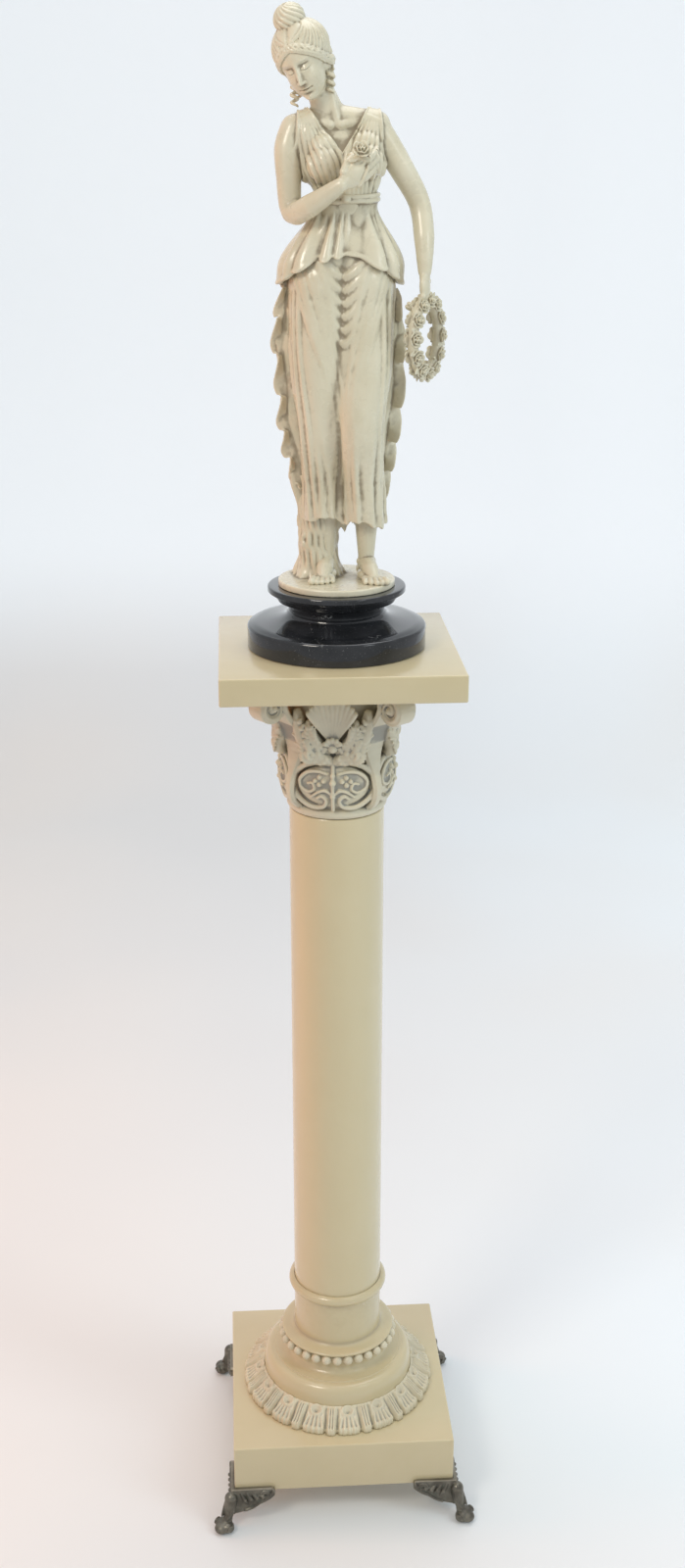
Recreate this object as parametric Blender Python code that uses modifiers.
# Cast resin maiden on a black turned socle, standing on a resin column pedestal.
# Metres, +Z up. The origin is on the floor under the column's axis, and the front faces -Y.

import bmesh
import bpy
from math import cos, pi, radians, sin
from mathutils import Matrix, Vector
from mathutils.bvhtree import BVHTree
from mathutils.geometry import interpolate_bezier

# Driving dimensions of the pedestal. The column is turned a little on its plinth, as the photo shows.
GAP = 0.0003
COLUMN_TURN = radians(-7.5)
PLINTH_SIDE = 0.260
PLINTH_HEIGHT = 0.061
PLINTH_EDGE = 0.0012
SLAB_SIDE = 0.250
SLAB_HEIGHT = 0.029
SLAB_EDGE = 0.0015
SHAFT_RADIUS = 0.052
SHAFT_LENGTH = 0.612
SHAFT_SIDES = 48
BASE_SIDES = 28
SOCLE_SIDES = 32

# Bronze feet under the plinth's corners
FOOT_LIFT = 0.044
FOOT_CLASP = 0.006
FOOT_WALL = 0.004
FOOT_WING = 0.052
FOOT_WING_DROP = 0.026
FOOT_KNEE_REACH = 0.006
FOOT_SPLAY = 0.0145
FOOT_LEG_RADIUS = 0.0066
FOOT_TOE_RADIUS = 0.0085
FOOT_VOXEL = 0.0016
FOOT_FACES = 180

# Turned base of the column: heights are above the plinth
TORUS_RADIUS = 0.0905
TORUS_LOW = 0.024
TORUS_TOP = 0.0465
SCOTIA_RADIUS = 0.0625
SCOTIA_TOP = 0.063
BEAD_COUNT = 32
BEAD_TURN = COLUMN_TURN + radians(3.75)
BEAD_RADIUS = 0.0057
BEAD_RING_RADIUS = 0.0658
BEAD_HEIGHT = 0.0695
STEP_RADIUS = 0.0675
STEP_HEIGHT = 0.080
COLLAR_RADIUS = 0.052
COLLAR_RING_RADIUS = 0.0585
COLLAR_RING_HEIGHT = 0.1445
COLLAR_RING_TUBE = 0.0062
SEAT_DEPTH = 0.004
FIT = 0.0004

# Ring of leaves around the turned base. A pair is a broad leaf and the narrow one beside it, in six steps:
# how high each stands of the full relief, and how far its tip falls back.
LEAF_PAIRS = 16
LEAF_STEPS = [(1.0, 0.0), (0.0, 0.0042), (0.9, 0.0008), (0.7, 0.0012), (0.9, 0.0008), (0.0, 0.0042)]
LEAF_REACH = 0.1160
LEAF_TOP = 0.0255
LEAF_LIP = 0.0055
LEAF_RELIEF = 0.0032

# Capital: heights are above its own foot
CAPITAL_HEIGHT = 0.1515
CAPITAL_RING_RADIUS = 0.0548
CAPITAL_RING_HEIGHT = 0.012
CAPITAL_THROAT = 0.050
CAPITAL_LIP = 0.066
VOLUTE_REACH = 0.115
VOLUTE_RADIUS = 0.0195
CARTOUCHE_REACH = 0.0665
CONSOLE_WIDTH = 0.024
CONSOLE_THICKNESS = 0.0075
CONSOLE_ROUTE = [(0.0540, 0.012), (0.0630, 0.022), (0.0655, 0.038), (0.0600, 0.058), (0.0575, 0.080),
                 (0.0640, 0.102), (0.0755, 0.119), (0.0805, 0.130)]
CARTOUCHE_HEIGHT = 0.040
SHELL_HEIGHT = 0.106
CAPITAL_VOXEL = 0.0013
CAPITAL_FACES = 1600

# Black turned socle
SOCLE_HEIGHT = 0.065
SOCLE_RADIUS = 0.0942
SOCLE_EDGE_HEIGHT = 0.0245
SOCLE_BEVEL = 0.0035
SOCLE_NECK = 0.0505
SOCLE_NECK_HEIGHT = 0.041
SOCLE_TOP_RADIUS = 0.0724
SOCLE_TOP_EDGE = 0.006

# The figure is one casting with its round base. Its pose and dress are laid out
# on a figure 558 units tall, and one unit is a share of its height.
FIGURE_HEIGHT = 0.558
UNIT = FIGURE_HEIGHT / 558
FIGURE_VOXEL = 0.0021
FIGURE_FACES = 4300
DISC_RADIUS = 61
DISC_HEIGHT = 6.5

# A thinned skin that isn't whole is thinned again, each time this much more
THINNING_TRIES = 12
THINNING_STEP = 0.01

# Heights that follow from the sizes above
PLINTH_BOTTOM = FOOT_LIFT
PLINTH_TOP = PLINTH_BOTTOM + PLINTH_HEIGHT
BASE_BOTTOM = PLINTH_TOP + GAP
SHAFT_BOTTOM = BASE_BOTTOM + COLLAR_RING_HEIGHT + COLLAR_RING_TUBE - SEAT_DEPTH + GAP
CAPITAL_BOTTOM = SHAFT_BOTTOM + SHAFT_LENGTH + GAP
SLAB_BOTTOM = CAPITAL_BOTTOM + CAPITAL_HEIGHT + GAP
SLAB_TOP = SLAB_BOTTOM + SLAB_HEIGHT
SOCLE_BOTTOM = SLAB_TOP + GAP
FIGURE_BOTTOM = SOCLE_BOTTOM + SOCLE_HEIGHT + GAP

for old in list(bpy.data.objects):
    bpy.data.objects.remove(old)

parts = bpy.data.collections.new("resin_figure_on_column")
bpy.context.scene.collection.children.link(parts)
cutters = bpy.data.collections.new("cutters")
bpy.context.scene.collection.children.link(cutters)


def material(name, colour, roughness, metallic=0.0):
    made = bpy.data.materials.new(name)
    made.use_nodes = True
    shader = made.node_tree.nodes["Principled BSDF"]
    shader.inputs["Base Color"].default_value = (*colour, 1.0)
    shader.inputs["Roughness"].default_value = roughness
    shader.inputs["Metallic"].default_value = metallic
    return made


STATUE_RESIN = material("statue_resin", (0.72, 0.66, 0.52), 0.35)
COLUMN_RESIN = material("column_resin", (0.66, 0.57, 0.41), 0.30)
CAPITAL_RESIN = material("capital_resin", (0.58, 0.53, 0.42), 0.55)
BLACK_STONE = material("black_stone", (0.015, 0.016, 0.018), 0.12)
BRONZE = material("bronze", (0.20, 0.18, 0.14), 0.50, 0.8)


def add_part(name, mesh, finish, height=0.0):
    part = bpy.data.objects.new(name, mesh)
    part.location.z = height
    mesh.materials.clear()
    mesh.materials.append(finish)
    parts.objects.link(part)
    return part


def block(name, side, height, edge, finish, bottom):
    """A square slab with a small bevel along its edges."""
    mesh = bpy.data.meshes.new(name)
    shape = bmesh.new()
    bmesh.ops.create_cube(shape, size=1.0)
    bmesh.ops.scale(shape, verts=shape.verts, vec=(side, side, height))
    shape.to_mesh(mesh)
    shape.free()
    part = add_part(name, mesh, finish, bottom + height / 2)
    bevel = part.modifiers.new("edge", "BEVEL")
    bevel.width = edge
    bevel.segments = 1
    return part


def arc(centre, radius, start, end, steps):
    """Points on a circle in the (r, z) plane, angles in degrees."""
    turn = [radians(start + (end - start) * i / steps) for i in range(steps + 1)]
    return [(centre[0] + radius * cos(t), centre[1] + radius * sin(t)) for t in turn]


def curve_between(a, pull_a, pull_b, b, steps):
    """Points on a Bezier curve in the (r, z) plane."""
    ends = [Vector((*p, 0.0)) for p in (a, pull_a, pull_b, b)]
    return [(p.x, p.y) for p in interpolate_bezier(*ends, steps + 1)]


def turned(name, profile, finish, bottom, sides=SHAFT_SIDES):
    """A solid of revolution. The profile runs from the axis at the top to the axis at the bottom."""
    mesh = bpy.data.meshes.new(name)
    mesh.from_pydata([(r, 0.0, z) for r, z in profile], [(i, i + 1) for i in range(len(profile) - 1)], [])
    part = add_part(name, mesh, finish, bottom)
    screw = part.modifiers.new("turn", "SCREW")
    screw.steps = screw.render_steps = sides
    screw.use_merge_vertices = True
    screw.merge_threshold = 0.00001
    screw.use_smooth_shade = True
    return part


def baked(part):
    """The part's evaluated mesh in world space, free of its modifiers."""
    bpy.context.view_layer.update()
    graph = bpy.context.evaluated_depsgraph_get()
    mesh = bpy.data.meshes.new_from_object(part.evaluated_get(graph))
    mesh.transform(part.matrix_world)
    return mesh


def sphere_form(sides):
    """Points and faces of a unit sphere, which every lump copies."""
    if sides not in sphere_forms:
        shape = bmesh.new()
        bmesh.ops.create_uvsphere(shape, u_segments=sides, v_segments=sides // 2 + 1, radius=1.0)
        sphere_forms[sides] = ([v.co.copy() for v in shape.verts],
                               [tuple(v.index for v in face.verts) for face in shape.faces])
        shape.free()
    return sphere_forms[sides]


sphere_forms = {}


class Clay:
    """Closed lumps gathered in one mesh, fused into one skin by a voxel remesh."""

    def __init__(self, unit=1.0):
        self.points = []
        self.faces = []
        self.unit = unit
        self.tree = None

    def ball(self, centre, radii, turn=None, sides=14):
        radii = (radii,) * 3 if isinstance(radii, (int, float)) else radii
        place = Matrix.Translation(centre)
        if turn is not None:
            place = place @ turn.to_4x4()
        place = place @ Matrix.Diagonal((*radii, 1.0))
        points, faces = sphere_form(sides)
        start = len(self.points)
        self.points += [place @ p for p in points]
        self.faces += [tuple(start + i for i in face) for face in faces]

    def limb(self, points, radii, sides=12):
        """A round rod through the points, thick as the radii say, with rounded ends."""
        points = [Vector(p) for p in points]
        radii = [radii] * len(points) if isinstance(radii, (int, float)) else radii
        for centre, radius in zip(points, radii):
            self.ball(centre, radius, sides=sides)
        circle = [(cos(2 * pi * i / sides), sin(2 * pi * i / sides)) for i in range(sides)]
        for a, b, ra, rb in zip(points, points[1:], radii, radii[1:]):
            if (b - a).length < 1e-6:
                continue
            turn = (b - a).to_track_quat("Z", "Y").to_matrix()
            self.loft([[a + turn @ Vector((x * ra, y * ra, 0)) for x, y in circle],
                       [b + turn @ Vector((x * rb, y * rb, 0)) for x, y in circle]])

    def loft(self, rings):
        """A closed skin over rings of equally many points, capped at both ends."""
        start, count = len(self.points), len(rings[0])
        for ring in rings:
            self.points += [Vector(p) for p in ring]
        for row in range(len(rings) - 1):
            low = start + row * count
            high = low + count
            for i in range(count):
                j = (i + 1) % count
                self.faces.append((low + i, low + j, high + j, high + i))
        self.faces.append(tuple(start + i for i in reversed(range(count))))
        self.faces.append(tuple(len(self.points) - count + i for i in range(count)))

    def settle(self):
        """Fixes the surface that later strokes are laid on."""
        self.tree = BVHTree.FromPolygons(self.points, self.faces)

    def on_front(self, x, z):
        """The first surface point seen along the Y axis from the front, with its normal."""
        return self.tree.ray_cast(Vector((x, -300.0, z)), Vector((0.0, 1.0, 0.0)))[:2]

    def stroke(self, found, radius, sink=0.3, sides=6):
        """A ridge laid through (point, normal) pairs of the settled surface."""
        found = [(p, n) for p, n in found if p is not None]
        if len(found) > 1:
            self.limb([p - n * radius * sink for p, n in found], taper(len(found), radius), sides=sides)

    def front_folds(self, first, last, count, radius, sink=0.0, steps=9):
        """Ridges spread between two outlines of (x, z) places seen from the front."""
        for i in range(count):
            share = i / max(1, count - 1)
            route = [mix(a, b, share) for a, b in zip(first, last)]
            places = [smooth_along(route, j / steps) for j in range(steps + 1)]
            self.stroke([self.on_front(x, z) for x, z in places], radius, sink)

    def raw_mesh(self, name):
        """The lumps as they are, every one facing outwards."""
        raw = bpy.data.meshes.new(name)
        raw.from_pydata([p * self.unit for p in self.points], [], self.faces)
        shape = bmesh.new()
        shape.from_mesh(raw)
        bmesh.ops.recalc_face_normals(shape, faces=shape.faces)
        shape.to_mesh(raw)
        shape.free()
        return raw

    def soften(self, voxel, rounds):
        """Melts the lumps gathered so far into one soft form, which later lumps are added to."""
        form = bpy.data.objects.new("soft_form", self.raw_mesh("soft_form"))
        bpy.context.scene.collection.objects.link(form)
        add_skin(form, voxel * self.unit, rounds)
        mesh = baked(form)
        self.points = [v.co / self.unit for v in mesh.vertices]
        self.faces = [tuple(face.vertices) for face in mesh.polygons]
        bpy.data.objects.remove(form)
        bpy.data.meshes.remove(mesh)
        self.settle()

    def fused(self, name, finish, voxel, faces, bottom, rounds=2):
        """The lumps as one skin of about so many triangles, cut flat at its bottom."""
        part = add_part(name, self.raw_mesh(name), finish, bottom)
        add_skin(part, voxel, rounds)
        part.modifiers.new("thin", "DECIMATE").ratio = faces / triangle_count(part)
        cut_away(part, box_cutter(f"below_{name}", (0, 0, bottom - 0.05), (1.0, 1.0, 0.1)))
        return part


def add_skin(part, voxel, rounds):
    """One skin over all the lumps of a part, smoothed by so many rounds."""
    skin = part.modifiers.new("skin", "REMESH")
    skin.mode = "VOXEL"
    skin.voxel_size = voxel
    skin.use_smooth_shade = True
    relax = part.modifiers.new("relax", "SMOOTH")
    relax.iterations = rounds
    relax.factor = 0.5


def taper(count, radius, tip=0.35):
    """Radii that swell from thin ends to the full radius in the middle."""
    if count < 2:
        return [radius] * count
    return [radius * (tip + (1 - tip) * sin(pi * (i + 0.5) / count) ** 0.6) for i in range(count)]


def triangle_count(part):
    mesh = baked(part)
    mesh.calc_loop_triangles()
    count = len(mesh.loop_triangles)
    bpy.data.meshes.remove(mesh)
    return count


def is_sound(mesh):
    """Whether every edge joins two faces, and all the faces hang together."""
    uses = {}
    for face in mesh.polygons:
        for ends in face.edge_keys:
            uses[ends] = uses.get(ends, 0) + 1
    if any(count != 2 for count in uses.values()):
        return False
    beside = {}
    for a, b in uses:
        beside.setdefault(a, []).append(b)
        beside.setdefault(b, []).append(a)
    reached, edge = {0}, [0]
    while edge:
        fresh = [n for n in beside[edge.pop()] if n not in reached]
        reached.update(fresh)
        edge += fresh
    return len(reached) == len(beside)


def make_sound(part):
    """Thinning can pinch a narrow place shut, so it is eased until the skin is whole."""
    thin = part.modifiers["thin"]
    first = thin.ratio
    for attempt in range(THINNING_TRIES):
        thin.ratio = first * (1 - THINNING_STEP * attempt)
        mesh = baked(part)
        sound = is_sound(mesh)
        bpy.data.meshes.remove(mesh)
        if sound:
            return


def cut_away(part, cutter):
    cut = part.modifiers.new(cutter.name, "BOOLEAN")
    cut.operation = "DIFFERENCE"
    cut.object = cutter


def box_cutter(name, centre, size):
    found = bpy.data.objects.get(name)
    if found:
        return found
    shape = bmesh.new()
    bmesh.ops.create_cube(shape, size=1.0)
    bmesh.ops.scale(shape, verts=shape.verts, vec=size)
    mesh = bpy.data.meshes.new(name)
    shape.to_mesh(mesh)
    shape.free()
    cutter = bpy.data.objects.new(name, mesh)
    cutter.location = centre
    cutter.hide_render = True
    cutter.display_type = "WIRE"
    cutters.objects.link(cutter)
    return cutter


def mix(a, b, share):
    """Between two numbers or two points."""
    if isinstance(a, (tuple, list, Vector)):
        return tuple(mix(p, q, share) for p, q in zip(a, b))
    return a + (b - a) * share


def ease(x, low, high):
    """0 below low, 1 above high, and smooth between them."""
    t = min(1.0, max(0.0, (x - low) / (high - low)))
    return t * t * (3 - 2 * t)


def smooth_along(points, share):
    """The point at this share of a smooth curve through the points."""
    place = min(max(share, 0.0), 1.0) * (len(points) - 1)
    low = min(int(place), len(points) - 2)
    t = place - low
    before, after = points[max(low - 1, 0)], points[min(low + 2, len(points) - 1)]
    a, b = points[low], points[low + 1]
    weights = (-t * (1 - t) ** 2 / 2, 1 - t * t * (5 - 3 * t) / 2,
               t * (1 + t * (4 - 3 * t)) / 2, -t * t * (1 - t) / 2)
    return tuple(sum(w * p[i] for w, p in zip(weights, (before, a, b, after))) for i in range(len(a)))


def at_height(table, z):
    """Values read from rows (z, ...), highest row first, at a height between them."""
    if z >= table[0][0]:
        return table[0][1:]
    for high, low in zip(table, table[1:]):
        if z >= low[0]:
            return mix(high[1:], low[1:], (high[0] - z) / (high[0] - low[0]))
    return table[-1][1:]


# The pedestal, from the floor up

def make_plinth():
    block("plinth", PLINTH_SIDE, PLINTH_HEIGHT, PLINTH_EDGE, COLUMN_RESIN, PLINTH_BOTTOM)


def foot_outline():
    """The side of a wing: (distance along the plinth, height) around its edge."""
    top = FOOT_LIFT + FOOT_CLASP
    low = FOOT_LIFT - FOOT_WING_DROP
    wave = curve_between((FOOT_WING, top - 0.010), (FOOT_WING * 0.80, top - 0.022),
                         (FOOT_WING * 0.62, low + 0.010), (FOOT_WING * 0.30, low), 6)
    return [(0.0, top), (FOOT_WING - 0.004, top), (FOOT_WING, top - 0.004)] + wave + [(0.0, low - 0.004)]


def make_foot(name, turn):
    """A corner foot: two leafy wings along the plinth's sides and a scrolled leg splayed from the corner."""
    clay = Clay()
    corner = PLINTH_SIDE / 2 + GAP
    outline = foot_outline()
    for swap in (False, True):
        rings = []
        for depth in (0.0, FOOT_WALL):
            ring = [(corner + FOOT_WALL - run, corner + depth, height) for run, height in outline]
            rings.append([(y, x, z) for x, y, z in ring] if swap else ring)
        clay.loft(rings)
    out = Vector((1.0, 1.0, 0.0)).normalized()
    across = Vector((-out.y, out.x, 0.0))
    centre = Vector((corner, corner, 0.0))

    def spot(reach, height, side=0.0):
        return centre + out * reach + across * side + Vector((0, 0, height))

    knee, toe = FOOT_KNEE_REACH, FOOT_SPLAY
    leg = [spot(knee, FOOT_LIFT * 0.88), spot(knee + 0.002, FOOT_LIFT * 0.62),
           spot(knee + 0.005, FOOT_LIFT * 0.38), spot(toe, FOOT_LIFT * 0.17)]
    clay.limb(leg, [FOOT_LEG_RADIUS * share for share in (1.15, 1.05, 0.85, 1.0)], sides=10)
    for side in (-0.0038, 0.0038):
        clay.ball(spot(toe + 0.003, FOOT_TOE_RADIUS * 0.75, side), FOOT_TOE_RADIUS, sides=10)
    clay.ball(spot(toe + 0.008, FOOT_TOE_RADIUS * 0.9), FOOT_TOE_RADIUS, sides=10)
    foot = clay.fused(name, BRONZE, FOOT_VOXEL, FOOT_FACES, 0.0)
    foot.rotation_euler.z = turn
    room = box_cutter("plinth_room", (0, 0, PLINTH_BOTTOM - GAP + 0.05), (2 * corner, 2 * corner, 0.1))
    cut_away(foot, room)
    make_sound(foot)
    return foot


def base_profile():
    """Ring, collar, step, bead channel, scotia and torus of the column's turned foot."""
    seat = COLLAR_RING_HEIGHT + COLLAR_RING_TUBE - SEAT_DEPTH
    bore = SHAFT_RADIUS + FIT
    ring_centre = (COLLAR_RING_RADIUS - COLLAR_RING_TUBE, COLLAR_RING_HEIGHT)
    ring = [(max(r, bore + 0.0004), z) for r, z in arc(ring_centre, COLLAR_RING_TUBE, 90, -90, 5)]
    torus_drop = TORUS_TOP - TORUS_LOW
    torus = curve_between((TORUS_RADIUS - 0.011, TORUS_TOP), (TORUS_RADIUS - 0.004, TORUS_TOP),
                          (TORUS_RADIUS, TORUS_TOP - torus_drop * 0.35), (TORUS_RADIUS, TORUS_LOW), 4)
    scotia = curve_between((SCOTIA_RADIUS, SCOTIA_TOP), (SCOTIA_RADIUS - 0.003, TORUS_TOP + 0.003),
                           (SCOTIA_RADIUS + 0.004, TORUS_TOP + 0.001),
                           (TORUS_RADIUS - 0.014, TORUS_TOP + 0.001), 3)
    return ([(0.0, seat), (bore, seat), (bore, seat + SEAT_DEPTH)] + ring
            + [(COLLAR_RADIUS, COLLAR_RING_HEIGHT - COLLAR_RING_TUBE - 0.0012)]
            + curve_between((COLLAR_RADIUS, STEP_HEIGHT + 0.006), (COLLAR_RADIUS, STEP_HEIGHT + 0.001),
                            (COLLAR_RADIUS + 0.004, STEP_HEIGHT),
                            (STEP_RADIUS - 0.001, STEP_HEIGHT - 0.001), 3)
            + [(STEP_RADIUS, STEP_HEIGHT - 0.002), (STEP_RADIUS, STEP_HEIGHT - 0.004),
               (BEAD_RING_RADIUS - 0.0022, BEAD_HEIGHT + BEAD_RADIUS * 0.8),
               (BEAD_RING_RADIUS - 0.0022, BEAD_HEIGHT - BEAD_RADIUS)]
            + scotia + torus + [(TORUS_RADIUS, 0.0), (0.0, 0.0)])


def make_column_base():
    """The turned foot with its row of beads, one casting."""
    lathe = turned("column_base", base_profile(), COLUMN_RESIN, BASE_BOTTOM, BASE_SIDES)
    beads = bmesh.new()
    for i in range(BEAD_COUNT):
        turn = 2 * pi * i / BEAD_COUNT + BEAD_TURN
        place = Matrix.Rotation(turn, 4, "Z") @ Matrix.Translation((BEAD_RING_RADIUS, 0.0, BEAD_HEIGHT))
        bmesh.ops.create_icosphere(beads, subdivisions=1, radius=BEAD_RADIUS, matrix=place)
    mesh = bpy.data.meshes.new("beads")
    beads.to_mesh(mesh)
    beads.free()
    beads = bpy.data.objects.new("bead_row", mesh)
    beads.location.z = BASE_BOTTOM
    beads.hide_render = True
    beads.display_type = "WIRE"
    cutters.objects.link(beads)
    join = lathe.modifiers.new("beads", "BOOLEAN")
    join.operation = "UNION"
    join.object = beads
    return lathe


def leaf_height(relief, out):
    """The leaf ring's surface: out runs from 0 at the torus to 1 at the tips."""
    slope = mix(LEAF_TOP, LEAF_LIP, ease(out, 0.0, 1.0) * 0.45 + out * 0.55)
    return slope + LEAF_RELIEF * (relief - 0.6) * sin(pi * min(1.0, 0.15 + out))


def make_leaf_ring():
    """A sloping ring of leaves lying on the plinth around the column's foot."""
    inner = TORUS_RADIUS + GAP
    columns = LEAF_PAIRS * LEAF_STEPS
    across, steps = len(columns), 2
    shape = bmesh.new()
    rows = []
    for j in range(steps + 1):
        out = j / steps
        row = []
        for i, (relief, back) in enumerate(columns):
            radius = mix(inner, LEAF_REACH - back, out)
            angle = 2 * pi * i / across + COLUMN_TURN
            row.append(shape.verts.new((radius * cos(angle), radius * sin(angle), leaf_height(relief, out))))
        rows.append(row)
    rows.append([shape.verts.new((v.co.x, v.co.y, 0.0)) for v in rows[-1]])
    rows.append([shape.verts.new((v.co.x, v.co.y, 0.0)) for v in rows[0]])
    rows.append(rows[0])
    for low, high in zip(rows, rows[1:]):
        for i in range(across):
            j = (i + 1) % across
            shape.faces.new((low[i], high[i], high[j], low[j]))
    bmesh.ops.recalc_face_normals(shape, faces=shape.faces)
    mesh = bpy.data.meshes.new("leaf_ring")
    shape.to_mesh(mesh)
    shape.free()
    return add_part("leaf_ring", mesh, CAPITAL_RESIN, BASE_BOTTOM)


def make_shaft():
    mesh = bpy.data.meshes.new("shaft")
    shape = bmesh.new()
    bmesh.ops.create_cone(shape, cap_ends=True, segments=SHAFT_SIDES, radius1=SHAFT_RADIUS,
                          radius2=SHAFT_RADIUS, depth=SHAFT_LENGTH)
    shape.to_mesh(mesh)
    shape.free()
    mesh.shade_smooth()
    mesh.set_sharp_from_angle(angle=radians(40))
    return add_part("shaft", mesh, COLUMN_RESIN, SHAFT_BOTTOM + SHAFT_LENGTH / 2)


def circle(x, y, z, radius, sides):
    """Points around an upright axis."""
    return [(x + radius * cos(2 * pi * i / sides), y + radius * sin(2 * pi * i / sides), z)
            for i in range(sides)]


def band(clay, route, width, thickness, turn):
    """A strap of constant width swept along a route of (out, height) places in the plane at this turn."""
    out = Vector((cos(turn), sin(turn), 0.0))
    across = Vector((-out.y, out.x, 0.0))
    rings = []
    for i, (reach, height) in enumerate(route):
        before, after = route[max(i - 1, 0)], route[min(i + 1, len(route) - 1)]
        run = Vector((after[0] - before[0], after[1] - before[1])).normalized()
        centre = out * reach + Vector((0, 0, height))
        face = (out * -run.y + Vector((0, 0, run.x))) * thickness / 2
        edge = across * width / 2
        rings.append([centre + edge * 0.8 + face, centre + edge, centre + edge * 0.8 - face,
                      centre - edge * 0.8 - face, centre - edge, centre - edge * 0.8 + face])
    clay.loft(rings)


def capital_console(clay, turn):
    """A corner scroll: a strap that rises from the ring, swells out and curls under the slab's corner."""
    out = Vector((cos(turn), sin(turn), 0.0))
    across = Vector((-out.y, out.x, 0.0))
    eye = (VOLUTE_REACH - VOLUTE_RADIUS, CAPITAL_HEIGHT - VOLUTE_RADIUS - 0.001)
    stem = [smooth_along(CONSOLE_ROUTE, i / 12) for i in range(13)]
    curl = []
    for i in range(15):
        angle = radians(168 - 30 * i)
        radius = (VOLUTE_RADIUS - CONSOLE_THICKNESS / 2) * (1 - 0.045 * i)
        curl.append((eye[0] + radius * cos(angle), eye[1] + radius * sin(angle)))
    band(clay, stem + curl, CONSOLE_WIDTH, CONSOLE_THICKNESS, turn)
    for side in (-1.0, 1.0):
        rim = [out * r + across * side * CONSOLE_WIDTH * 0.46 + Vector((0, 0, h)) for r, h in stem + curl]
        clay.limb(rim, CONSOLE_THICKNESS * 0.42, sides=6)
    hub = [out * eye[0] + across * side * CONSOLE_WIDTH * 0.38 + Vector((0, 0, eye[1]))
           for side in (-1.0, 1.0)]
    clay.limb(hub, VOLUTE_RADIUS * 0.30, sides=8)
    cheeks = []
    for side in (-0.46, 0.46):
        middle = out * eye[0] + across * side * CONSOLE_WIDTH + Vector((0, 0, eye[1]))
        disc = circle(0, 0, 0, VOLUTE_RADIUS * 0.85, 14)
        cheeks.append([middle + (out * x + Vector((0, 0, y))) for x, y, _ in disc])
    clay.loft(cheeks)


def capital_face(clay, turn):
    """One side: a framed cartouche below, leaves springing from it, and a fluted shell under the slab."""
    out = Vector((cos(turn), sin(turn), 0.0))
    across = Vector((-out.y, out.x, 0.0))
    facing = Matrix.Rotation(turn, 3, "Z")

    def spot(side, height, reach):
        return out * reach + across * side + Vector((0, 0, height))

    middle = CARTOUCHE_HEIGHT
    clay.ball(spot(0, middle, CARTOUCHE_REACH - 0.0125), (0.0115, 0.027, 0.024), facing)
    clay.limb([spot(0, middle - 0.024, 0.0545), spot(0, middle, CARTOUCHE_REACH),
               spot(0, middle + 0.026, 0.060)], [0.002, 0.0022, 0.003], sides=6)
    for side in (-1.0, 1.0):
        frame = []
        for i in range(10):
            angle = radians(-78 + 24 * i)
            inward = 1.0 - 0.5 * ease(i, 5, 9)
            aside = side * (0.003 + 0.0245 * cos(angle) * inward)
            frame.append(spot(aside, middle + 0.0255 * sin(angle) * inward,
                              CARTOUCHE_REACH - 0.0045 - 0.004 * cos(angle)))
        clay.limb(frame, 0.0030, sides=6)
        clay.ball(spot(side * 0.0075, middle - 0.006, CARTOUCHE_REACH - 0.001), 0.0034, sides=8)
        clay.ball(spot(side * 0.0065, middle + 0.004, CARTOUCHE_REACH - 0.001), 0.0034, sides=8)
        for i in range(3):
            lift = 0.011 * i
            clay.limb([spot(side * 0.005, middle + 0.026 + lift * 0.6, 0.057),
                       spot(side * (0.016 + 0.002 * i), middle + 0.034 + lift, 0.0635),
                       spot(side * (0.028 + 0.002 * i), middle + 0.035 + lift * 1.25, 0.0665)],
                      [0.0035, 0.0048, 0.0022], sides=8)
    for i in range(7):
        fan = radians(-66 + 22 * i)
        clay.limb([spot(0.004 * sin(fan), SHELL_HEIGHT, 0.058),
                   spot(0.015 * sin(fan), SHELL_HEIGHT + 0.016 * cos(fan), 0.068),
                   spot(0.027 * sin(fan), SHELL_HEIGHT + 0.032 * cos(fan), 0.0735)],
                  [0.002, 0.0034, 0.0052], sides=8)


def make_capital():
    """The carved capital: a flared bell with corner scrolls, leaves, shells and cartouches."""
    clay = Clay()
    ring = arc((CAPITAL_RING_RADIUS - CAPITAL_RING_HEIGHT / 2, CAPITAL_RING_HEIGHT / 2),
               CAPITAL_RING_HEIGHT / 2, -90, 90, 6)
    bell = curve_between((CAPITAL_THROAT, CAPITAL_RING_HEIGHT), (CAPITAL_THROAT, CAPITAL_HEIGHT * 0.4),
                         (CAPITAL_THROAT + 0.001, CAPITAL_HEIGHT * 0.75), (CAPITAL_LIP, CAPITAL_HEIGHT), 8)
    rings = []
    for radius, height in ring + bell:
        rings.append(circle(0, 0, height, radius, 40))
    clay.loft(rings)
    for quarter in range(4):
        capital_console(clay, pi / 4 + quarter * pi / 2)
        capital_face(clay, quarter * pi / 2)
    capital = clay.fused("capital", CAPITAL_RESIN, CAPITAL_VOXEL, CAPITAL_FACES, CAPITAL_BOTTOM)
    capital.rotation_euler.z = COLUMN_TURN
    cut_away(capital, box_cutter("above_capital", (0, 0, SLAB_BOTTOM - GAP + 0.05), (0.4, 0.4, 0.1)))
    make_sound(capital)
    return capital


def make_slab():
    block("top_slab", SLAB_SIDE, SLAB_HEIGHT, SLAB_EDGE, COLUMN_RESIN, SLAB_BOTTOM)


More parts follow.
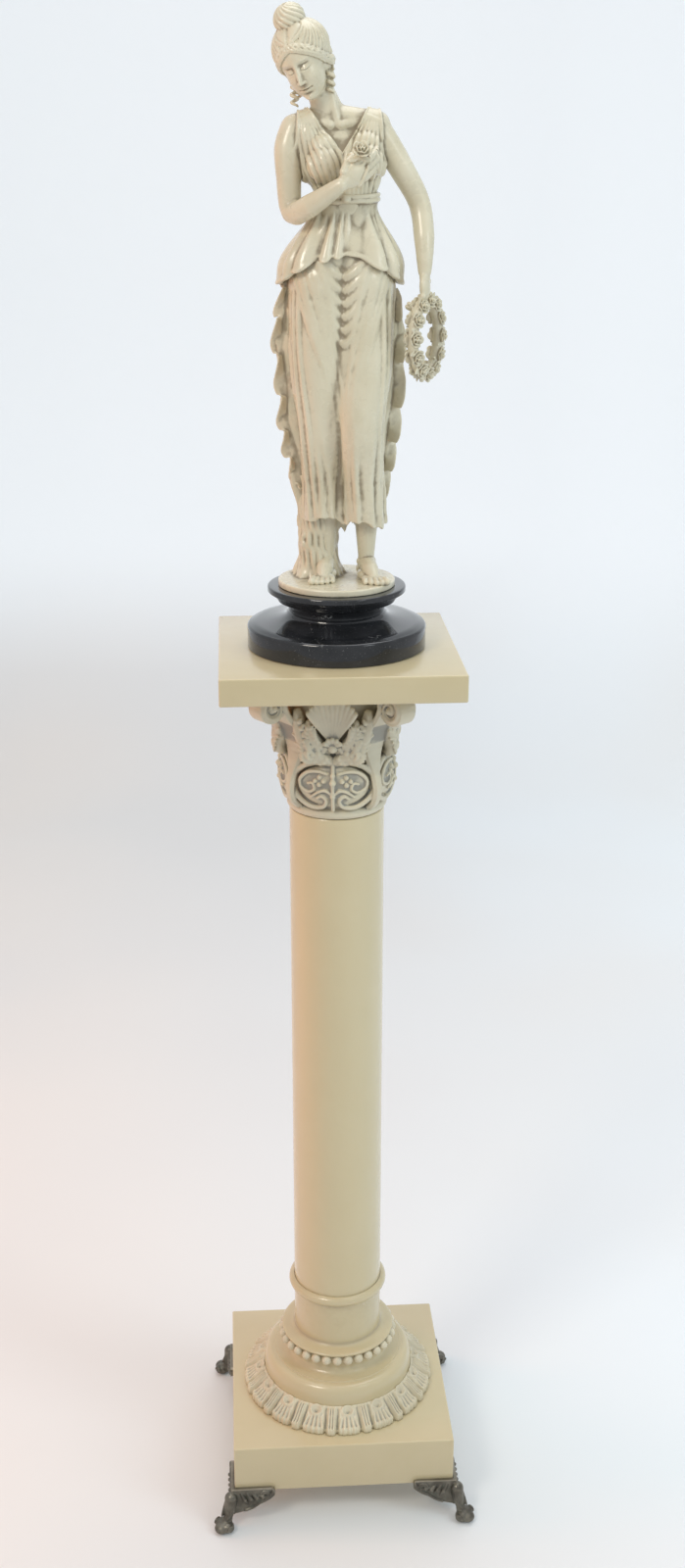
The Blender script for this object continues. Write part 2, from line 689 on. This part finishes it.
def make_socle():
    """The black socle: a broad disc, a waist and a bevelled top that carries the figure."""
    edge, high = SOCLE_EDGE_HEIGHT, SOCLE_HEIGHT
    rim = [(SOCLE_TOP_RADIUS - 0.003, high), (SOCLE_TOP_RADIUS, high - 0.0025),
           (SOCLE_TOP_RADIUS, high - SOCLE_TOP_EDGE), (SOCLE_TOP_RADIUS - 0.009, high - 0.0125),
           (SOCLE_TOP_RADIUS - 0.0105, high - 0.0155)]
    neck = curve_between((SOCLE_TOP_RADIUS - 0.0135, high - 0.017), (SOCLE_NECK, high - 0.018),
                         (SOCLE_NECK, SOCLE_NECK_HEIGHT), (SOCLE_NECK + 0.0015, SOCLE_NECK_HEIGHT - 0.003), 3)
    foot = curve_between((SOCLE_NECK + 0.0015, SOCLE_NECK_HEIGHT - 0.004), (SOCLE_NECK + 0.003, edge + 0.007),
                         (SOCLE_NECK + 0.010, edge + 0.004),
                         (SOCLE_RADIUS - SOCLE_BEVEL - 0.002, edge + 0.0015), 3)
    disc = [(SOCLE_RADIUS - SOCLE_BEVEL, edge), (SOCLE_RADIUS, edge - SOCLE_BEVEL), (SOCLE_RADIUS, 0.0)]
    profile = [(0.0, high)] + rim + neck + foot + disc + [(0.0, 0.0)]
    return turned("black_socle", profile, BLACK_STONE, SOCLE_BOTTOM, SOCLE_SIDES)


# The figure, in units

HEAD_CENTRE = Vector((-31.0, -9.0, 504.0))
HEAD_TURN = (Matrix.Rotation(radians(-20), 3, "Y") @ Matrix.Rotation(radians(-26), 3, "Z")
             @ Matrix.Rotation(radians(18), 3, "X"))
NECK_BASE = (-3.0, 6.0, 454.0)
RIGHT_ARM = [(-40, 4, 444), (-46, 1, 428), (-46, -4, 402), (-43, -9, 370), (-26, -31, 377), (2, -47, 396)]
RIGHT_ARM_RADII = [14.5, 14, 12.5, 11, 11, 7]
LEFT_ARM = [(38, 5, 447), (48, 5, 434), (65, 5, 408), (82, 6, 378), (86, -6, 346), (86, -16, 314)]
LEFT_ARM_RADII = [14.5, 13.5, 12.5, 11, 10.5, 6.8]
RIGHT_LEG = [(-16, 3, 292), (-18, -4, 225), (-17, -7, 160), (-14, 3, 110), (-10, 9, 28)]
LEFT_LEG = [(26, 2, 288), (27, -12, 225), (24, -25, 166), (27, -10, 110), (31, 1, 30)]
LEG_RADII = [29, 26, 19, 17.5, 9.5]
WREATH_CENTRE = Vector((88.0, -14.0, 252.0))
WREATH_RADIUS = 29.0
WREATH_TURN = radians(52)
WREATH_ROSES = 12

ROSE_CENTRE = Vector((20.0, -48.0, 424.0))

# Cloth around the legs: height, middle x, middle y
SKIRT_AXIS = [(380, 10, 1), (340, 7, 1), (300, 4, 2), (230, 4, -2), (160, 4, -6), (100, 8, 1), (68, 10, 3)]
# Loose cloth behind and beside the legs: height, half width, half depth, middle y
TRAIN = [(345, 30, 16, 6), (318, 44, 24, 7), (292, 53, 30, 8), (260, 59, 34, 9), (200, 59, 34, 12),
         (150, 54, 31, 14), (100, 46, 27, 15), (62, 43, 24, 15)]


def head_point(x, y, z):
    """A point given on an upright, forward-facing head, placed on the figure's tilted one."""
    return HEAD_CENTRE + HEAD_TURN @ Vector((x, y, z))


def make_head(clay):
    """Neck, skull and a plain classical face."""
    turn = HEAD_TURN
    clay.limb([NECK_BASE, head_point(0, 7, -16)], [15, 12.5])
    clay.ball(head_point(0, 4, 8), (23, 26.5, 24.5), turn, sides=20)
    clay.ball(head_point(0, -6, -8), (18.5, 18.5, 24), turn, sides=18)
    clay.ball(head_point(0, -14, -25), (8.5, 8.5, 7), turn)


def make_face(clay):
    turn = HEAD_TURN
    clay.limb([head_point(0, -22.5, 5), head_point(0, -25.5, -5)], [2.6, 3.8], sides=8)
    clay.ball(head_point(0, -22.5, -15), (6, 3.4, 2.8), turn)
    clay.ball(head_point(0, -20, -25.5), (5, 4, 4.2), turn)
    for side in (-1, 1):
        clay.ball(head_point(8.5 * side, -20.5, 0), (4.6, 3.4, 2.9), turn)
        clay.ball(head_point(8.5 * side, -20.0, 6), (8, 4, 2.6), turn)


def on_head(clay, azimuth, elevation):
    """The surface point in this direction from the head's middle: azimuth 0 faces forward, 90 is its left."""
    a, e = radians(azimuth), radians(elevation)
    way = HEAD_TURN @ Vector((sin(a) * cos(e), -cos(a) * cos(e), sin(e)))
    middle = head_point(0, 4, 4)
    return clay.tree.ray_cast(middle + way * 90, -way)[:2]


def make_hair(clay):
    """Hair parted over the forehead, waved back over the temples and drawn up into a bun."""
    bun = head_point(0, 14, 38)
    clay.ball(head_point(0, 9, 11), (27, 26.5, 25.5), HEAD_TURN, sides=20)
    clay.ball(head_point(0, 12, -4), (24.5, 19.5, 20), HEAD_TURN, sides=20)
    clay.ball(bun, (13, 13.5, 12), HEAD_TURN, sides=16)
    clay.settle()
    for side in (-1, 1):
        for lock in range(8):
            share = lock / 7
            start = (mix(5, 150, share), mix(34, -36, share ** 0.8))
            route = []
            for step in range(9):
                t = step / 8
                wave = 5 * sin(9 * t + lock) * (1 - t)
                route.append(on_head(clay, side * mix(start[0], 150, t), mix(start[1], 60, t ** 1.3) + wave))
            clay.stroke(route, 4.2, sink=0.45)
        roll = [(0, 40), (18, 35), (38, 23), (56, 7), (78, -14), (108, -31), (150, -38), (180, -38)]
        route = [on_head(clay, side * a, e) for a, e in [smooth_along(roll, j / 18) for j in range(19)]]
        clay.stroke(route, 4.4, sink=0.3, sides=8)
        for curl in range(3):
            middle = head_point(side * (17 - curl), 10 + 3 * curl, -14 - 7 * curl)
            clay.ball(middle, 4.8 - 0.6 * curl, sides=8)
    for strand in range(8):
        coil = []
        for step in range(8):
            polar = mix(0.25, pi - 0.25, step / 7)
            turn = 2 * pi * strand / 8 + 0.9 * polar
            spot = Vector((13.4 * sin(polar) * cos(turn), 13.9 * sin(polar) * sin(turn), 12.4 * cos(polar)))
            coil.append(bun + HEAD_TURN @ spot)
        clay.limb(coil, taper(8, 3.0), sides=6)


def fold_sum(angle, z, table):
    """Pleats: each row is (count around, amplitude, twist per unit of height, phase)."""
    return sum(size * sin(count * angle + twist * z + phase) for count, size, twist, phase in table)


def leg_at(leg, z):
    rows = [(p[2], p[0], p[1], r) for p, r in zip(leg, LEG_RADII)]
    return at_height(rows, z)


def skirt_reach(angle, z):
    """How far the clinging skirt reaches from its axis: around both legs, with cloth bridging them."""
    cx, cy = at_height(SKIRT_AXIS, z)
    ux, uy = cos(angle), sin(angle)
    union, hull = 6.0, 0.0
    for leg in (RIGHT_LEG, LEFT_LEG):
        lx, ly, radius = leg_at(leg, z)
        radius = max(radius, 17.5) + 2.5
        px, py = lx - cx, ly - cy
        near = px * ux + py * uy
        room = near * near - px * px - py * py + radius * radius
        if room > 0:
            union = max(union, near + room ** 0.5)
        hull = max(hull, near + radius)
    waist = 23.0 + 8.0 * abs(ux)
    body = mix(union, hull, 0.45)
    upper = ease(z, 300, 350)
    hips = mix(body, waist * mix(1.25, 1.0, ease(z, 310, 378)), upper)
    front = max(0.0, -uy)
    middle = front ** 4 * (1 - abs(ux))
    hanging = fold_sum(angle, z, [(17, 1.3, 0.012, 0.4), (26, 0.8, -0.02, 2.0)]) * (0.35 + 0.65 * middle)
    return hips + hanging * ease(z, 390, 300)


def make_skirt(clay):
    """The dress below the belt, clinging to both legs and gathered between them."""
    rings = []
    around = 72
    for step in range(30):
        z = mix(70, 380, step / 29)
        cx, cy = at_height(SKIRT_AXIS, z)
        ring = []
        for i in range(around):
            angle = 2 * pi * i / around
            reach = skirt_reach(angle, z)
            lift = 3.0 * sin(9 * angle) * (1 - ease(z, 70, 90)) - 3.0 * cos(angle) * (1 - ease(z, 70, 110))
            ring.append((cx + reach * cos(angle), cy + reach * sin(angle), z + lift))
        rings.append(ring)
    clay.loft(rings)


def make_train(clay):
    """Loose cloth falling behind and beside the legs in pleats, wavy along its side edges."""
    rings = []
    around = 136
    for step in range(26):
        z = mix(62, 345, step / 25)
        half_width, half_depth, middle = at_height(TRAIN, z)
        ring = []
        for i in range(around):
            angle = 2 * pi * i / around
            side = abs(cos(angle))
            wave = 4.5 * sin(z / 11.0 + 2.2 * cos(angle)) * side ** 6
            warped = angle + 0.10 * sin(4 * angle + 0.8)
            pleat = fold_sum(warped, z, [(17, 3.2, 0.0, 0.0), (29, 1.0, 0.01, 1.3)]) * ease(z, 345, 285)
            reach_x = half_width + wave + pleat
            reach_y = half_depth + pleat if sin(angle) > 0 else half_depth * 0.35
            hem = (1 - ease(z, 62, 130)) * (7 * sin(7 * angle + 0.6) + 9 * max(0.0, cos(angle)))
            ring.append((4 + reach_x * cos(angle), middle + reach_y * sin(angle), z + hem))
        rings.append(ring)
    clay.loft(rings)


def make_torso(clay):
    """Body down to the hips."""
    clay.ball((4, 4, 303), (41, 27, 34), sides=20)
    clay.ball((7, 0, 340), (29, 20, 34), sides=18)
    clay.limb([(9, 1, 360), (11, 1, 392)], [23, 26], sides=16)
    clay.ball((9, 2, 408), (35, 24, 36), sides=20)
    clay.ball((1, 5, 432), (41, 19, 21), sides=20)
    clay.limb([(-40, 4, 446), (-4, 5, 454), (40, 5, 449)], [13.5, 15, 13.5])
    clay.limb([(-28, 1, 440), (-20, 0, 410)], [14, 15])
    clay.limb([(32, 1, 442), (32, 0, 412)], [14, 15])
    for side, top in ((-13, 413), (28, 416)):
        clay.ball((side, -17, top), (15.5, 14, 15), sides=16)
        clay.ball((side, -11, top + 12), (14, 11, 14), sides=16)


def make_belt(clay):
    rings = []
    for step in range(9):
        swell = 1.8 * abs(sin(2 * pi * step / 8))
        rings.append([(11 + 1.16 * x, y, z) for x, y, z in circle(0, 0, 377 + 1.4 * step, 25.5 + swell, 40)])
    clay.loft(rings)


def make_peplum(clay):
    """The short overfold below the belt, flaring into uneven rounded flutes."""
    rings = []
    around = 156
    for step in range(12):
        share = step / 11
        ring = []
        for i in range(around):
            angle = 2 * pi * i / around
            warped = angle + fold_sum(angle, 0, [(3, 0.16, 0, 0.4), (7, 0.05, 0, 0), (5, 0.10, 0, 2.0)])
            phase = 13 * warped + 0.5
            strength = 0.35 + 0.65 * sin(2.5 * angle + 0.6) ** 2
            side = cos(angle) ** 2
            hem = 329 - 25 * side ** 1.5 - 4.4 * strength * cos(phase) - 10 * max(0.0, sin(angle))
            z = mix(hem, 379, share)
            fall = ease(378 - z, -6, 62)
            flare = 12.0 + 18.0 * side + (9.0 if angle < pi else -3.0) * sin(angle)
            reach = 27.0 + 1.5 * side + fall * (flare + 5.8 * strength * cos(phase))
            swung = angle + 0.064 * fall * strength * sin(phase)
            ring.append((9 + reach * cos(swung) * 1.02 - 5 * (1 - share), 1 + reach * sin(swung) * 0.86, z))
        rings.append(ring)
    clay.loft(rings)


def make_hands(clay):
    make_hand(clay, Vector(RIGHT_ARM[-1]), Vector((0.80, 0.22, 0.56)), Vector((0.30, -0.95, -0.06)), 0.35)
    make_hand(clay, Vector(LEFT_ARM[-1]), Vector((0.02, -0.12, -0.99)), Vector((0.92, -0.38, 0.02)), 0.95)


def make_hand(clay, wrist, reach, back, curl):
    """A hand from the wrist towards reach, its back facing back, fingers bent by curl."""
    reach = reach.normalized()
    back = (back - reach * back.dot(reach)).normalized()
    across = reach.cross(back)
    palm = Matrix((across, reach, back)).transposed()
    clay.ball(wrist + reach * 14, (10.5, 16, 5.2), palm, sides=12)
    for i in range(4):
        side = (i - 1.5) * 5.2
        length = (9.5, 11.0, 10.5, 8.5)[i]
        joint = wrist + reach * (25 - abs(i - 1.2)) + across * side
        path = [joint]
        bend = 0.0
        for part in range(3):
            bend += curl * (0.55, 0.9, 0.6)[part]
            way = reach * cos(bend) - back * sin(bend)
            path.append(path[-1] + way * length * (1.0, 0.75, 0.55)[part])
        clay.limb(path, [3.1, 2.9, 2.6, 2.2], sides=8)
    thumb = wrist + reach * 8 - across * 8
    clay.limb([thumb, thumb + reach * 9 - across * 5 - back * 3, thumb + reach * 17 - across * 5 - back * 7],
              [4.0, 3.4, 2.7], sides=8)


def make_rose(clay, centre, facing, radius):
    """A blossom: a bud in a ring of rounded petals."""
    facing = facing.normalized()
    side = facing.orthogonal().normalized()
    other = facing.cross(side)
    clay.ball(centre + facing * radius * 0.35, radius * 0.55, sides=8)
    for i in range(5):
        turn = 2 * pi * i / 5
        out = side * cos(turn) + other * sin(turn)
        clay.ball(centre + out * radius * 0.62, radius * 0.48, sides=8)


def make_wreath(clay):
    """A ring of roses hanging from the lowered hand."""
    flat = Vector((cos(WREATH_TURN), sin(WREATH_TURN), 0.0))
    face = Vector((flat.y, -flat.x, 0.0))
    ring = []
    for x, y, _ in circle(0, 0, 0, WREATH_RADIUS, WREATH_ROSES):
        ring.append(WREATH_CENTRE + flat * 0.82 * x + Vector((0, 0, 1.2 * y)))
    clay.limb(ring + ring[:1], 5.6, sides=8)
    for spot in ring:
        away = (spot - WREATH_CENTRE).normalized()
        for way in (face, -face):
            make_rose(clay, spot + away * 1.5 + way * 4.0, away * 0.6 + way, 8.0)


def make_feet(clay):
    for ankle, heading in ((Vector(RIGHT_LEG[-1]), radians(-100)), (Vector(LEFT_LEG[-1]), radians(-78))):
        way = Vector((cos(heading), sin(heading), 0.0))
        side = Vector((-way.y, way.x, 0.0))
        floor = Vector((ankle.x, ankle.y, DISC_HEIGHT))
        turn = Matrix((way, side, Vector((0, 0, 1)))).transposed()
        clay.limb([ankle, ankle + Vector((0, 0, 40))], [9.5, 11])
        clay.ball(floor - way * 8 + Vector((0, 0, 7)), (11, 9, 9), turn)
        clay.limb([floor + way * 4 + Vector((0, 0, 15)), floor + way * 27 + Vector((0, 0, 5))], [9.5, 6.5])
        clay.ball(floor + way * 25 + Vector((0, 0, 3)), (12, 12, 6), turn)
        for i in range(5):
            spread = (i - 2) * 4.9 * (-1 if ankle.x < 0 else 1)
            length = (42, 41.5, 40, 37, 33.5)[i]
            root = floor + way * 29 + side * spread + Vector((0, 0, 3))
            tip = floor + way * length + side * spread * 1.12 + Vector((0, 0, 2.2))
            clay.limb([root, tip], [3.4, 3.1 if i else 3.8], sides=8)


def make_ground(clay):
    """The round base and the stump that props the standing leg."""
    edge = ((DISC_RADIUS, -3.0), (DISC_RADIUS, DISC_HEIGHT - 0.8), (DISC_RADIUS - 0.8, DISC_HEIGHT))
    clay.loft([circle(0, 0, z, r, 56) for r, z in edge])
    stump = ((27, 1), (24, 9), (21, 25), (19.5, 55), (19, 100))
    clay.loft([circle(-18, 19 - 0.03 * z, z, r, 20) for r, z in stump])


def draw_bodice(clay):
    """The bodice's cloth: folds fanned from each shoulder to the belt."""
    right_neck = [(-24, 459), (-16, 447), (-7, 434), (2, 421), (5, 404), (7, 385)]
    right_arm = [(-37, 454), (-38, 444), (-37, 428), (-32, 410), (-25, 396), (-16, 384)]
    left_neck = [(28, 459), (21, 447), (14, 434), (9, 421), (9, 404), (11, 385)]
    left_arm = [(41, 455), (44, 444), (44, 428), (43, 410), (40, 397), (35, 384)]
    for neck, arm in ((right_neck, right_arm), (left_neck, left_arm)):
        clay.front_folds(neck, arm, 4, 3.4, sink=-0.1)


def draw_skirt_folds(clay):
    """Long folds that gather between the legs, with hollows hanging under the belly."""
    outer_right = [(-45, 314), (-29, 262), (-10, 205), (-5, 146), (-13, 84)]
    inner_right = [(-20, 312), (-7, 262), (2, 205), (3, 146), (2, 84)]
    outer_left = [(53, 314), (36, 262), (19, 205), (16, 146), (24, 84)]
    inner_left = [(32, 312), (17, 262), (9, 205), (8, 146), (9, 84)]
    clay.front_folds(outer_right, inner_right, 3, 3.8)
    clay.front_folds(outer_left, inner_left, 3, 3.8)
    outer_right = [(-46, 296), (-46, 230), (-40, 160), (-34, 90)]
    inner_right = [(-36, 290), (-35, 230), (-29, 160), (-22, 90)]
    outer_left = [(54, 296), (54, 230), (48, 160), (48, 90)]
    inner_left = [(45, 290), (45, 230), (39, 160), (38, 90)]
    clay.front_folds(outer_right, inner_right, 2, 3.4)
    clay.front_folds(outer_left, inner_left, 2, 3.4)
    for drop in range(4):
        low = 308 - 17 * drop
        half = 27 - 3 * drop
        loop = [(6 + half * across, height) for across, height in
                ((-1, 326), (-0.65, low + 12), (0, low), (0.65, low + 12), (1, 326))]
        clay.front_folds(loop, loop, 1, 3.6)


def make_figure():
    clay = Clay(UNIT)
    make_torso(clay)
    make_head(clay)
    clay.limb(RIGHT_ARM, RIGHT_ARM_RADII)
    clay.limb(LEFT_ARM, LEFT_ARM_RADII)
    clay.soften(2.2, 7)
    draw_bodice(clay)
    make_hair(clay)
    make_face(clay)
    make_hands(clay)
    make_skirt(clay)
    make_train(clay)
    clay.settle()
    draw_skirt_folds(clay)
    make_peplum(clay)
    make_belt(clay)
    make_wreath(clay)
    make_rose(clay, ROSE_CENTRE, Vector((0.1, -0.8, 0.6)), 9.0)
    make_feet(clay)
    make_ground(clay)
    figure = clay.fused("figure", STATUE_RESIN, FIGURE_VOXEL, FIGURE_FACES, FIGURE_BOTTOM)
    make_sound(figure)
    return figure


make_plinth()
for quarter, corner_name in enumerate(("back_right", "back_left", "front_left", "front_right")):
    make_foot("foot_" + corner_name, quarter * pi / 2)
make_column_base()
make_leaf_ring()
make_shaft()
make_capital()
make_slab()
make_socle()
make_figure()
